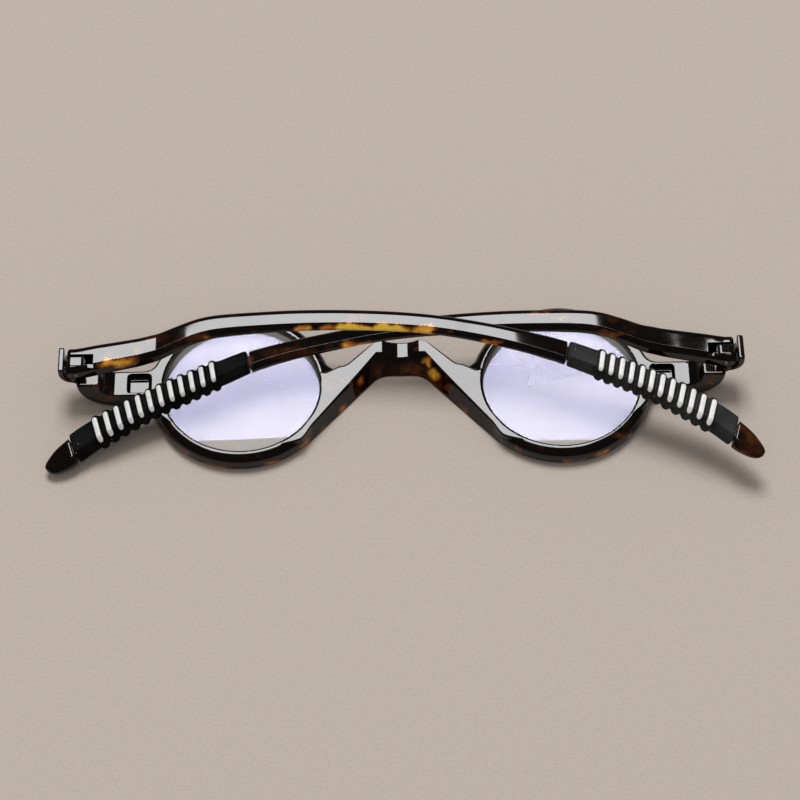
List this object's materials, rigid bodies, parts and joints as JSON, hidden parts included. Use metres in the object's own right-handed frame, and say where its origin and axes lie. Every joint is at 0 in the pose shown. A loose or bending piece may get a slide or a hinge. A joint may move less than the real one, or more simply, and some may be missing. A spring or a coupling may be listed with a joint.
{
  "type": "folding reading glasses",
  "caption": "Round reading glasses with a saddle bridge, hinged slim temples and ribbed soft grips, folded flat on the front of the frame.",
  "frame": {"origin": "middle of the bridge's front face, on the plane that the folded glasses lie on", "axes": "+X to the wearer's right, +Y to the top of the frame, +Z out of its back, up from the surface it lies on"},
  "size_m": [0.1434, 0.0418, 0.0141],
  "materials": {
    "tortoise": "polished dark tortoiseshell",
    "lens": "clear with a faint violet coating",
    "grip": "soft matt black",
    "stripe": "white",
    "screw": "plain steel"
  },
  "bodies": {
    "frame_front": {"front": "tortoise", "lens_left": "lens", "lens_right": "lens", "hinge_screw_left": "screw", "hinge_screw_right": "screw"},
    "temple_left": {"temple_left": "tortoise", "grip_sleeve_left": "grip", "grip_stripe_left_01": "stripe", "grip_stripe_left_02": "stripe", "grip_stripe_left_03": "stripe", "grip_stripe_left_04": "stripe", "grip_stripe_left_05": "stripe", "grip_stripe_left_06": "stripe", "grip_stripe_left_07": "stripe", "grip_stripe_left_08": "stripe", "grip_stripe_left_09": "stripe", "grip_stripe_left_10": "stripe", "grip_stripe_left_11": "stripe", "grip_stripe_left_12": "stripe"},
    "temple_right": {"temple_right": "tortoise", "grip_sleeve_right": "grip", "grip_stripe_right_01": "stripe", "grip_stripe_right_02": "stripe", "grip_stripe_right_03": "stripe", "grip_stripe_right_04": "stripe", "grip_stripe_right_05": "stripe", "grip_stripe_right_06": "stripe", "grip_stripe_right_07": "stripe", "grip_stripe_right_08": "stripe", "grip_stripe_right_09": "stripe", "grip_stripe_right_10": "stripe", "grip_stripe_right_11": "stripe", "grip_stripe_right_12": "stripe"}
  },
  "joints": [
    {"name": "left_temple_hinge", "type": "hinge", "parent": "frame_front", "child": "temple_left", "pos_m": [-0.0656, -0.0056, 0.0093], "axis": [0, -1, 0], "range_deg": [0, 90]},
    {"name": "right_temple_hinge", "type": "hinge", "parent": "frame_front", "child": "temple_right", "pos_m": [0.0656, -0.0056, 0.0093], "axis": [0, 1, 0], "range_deg": [0, 92]}
  ]
}
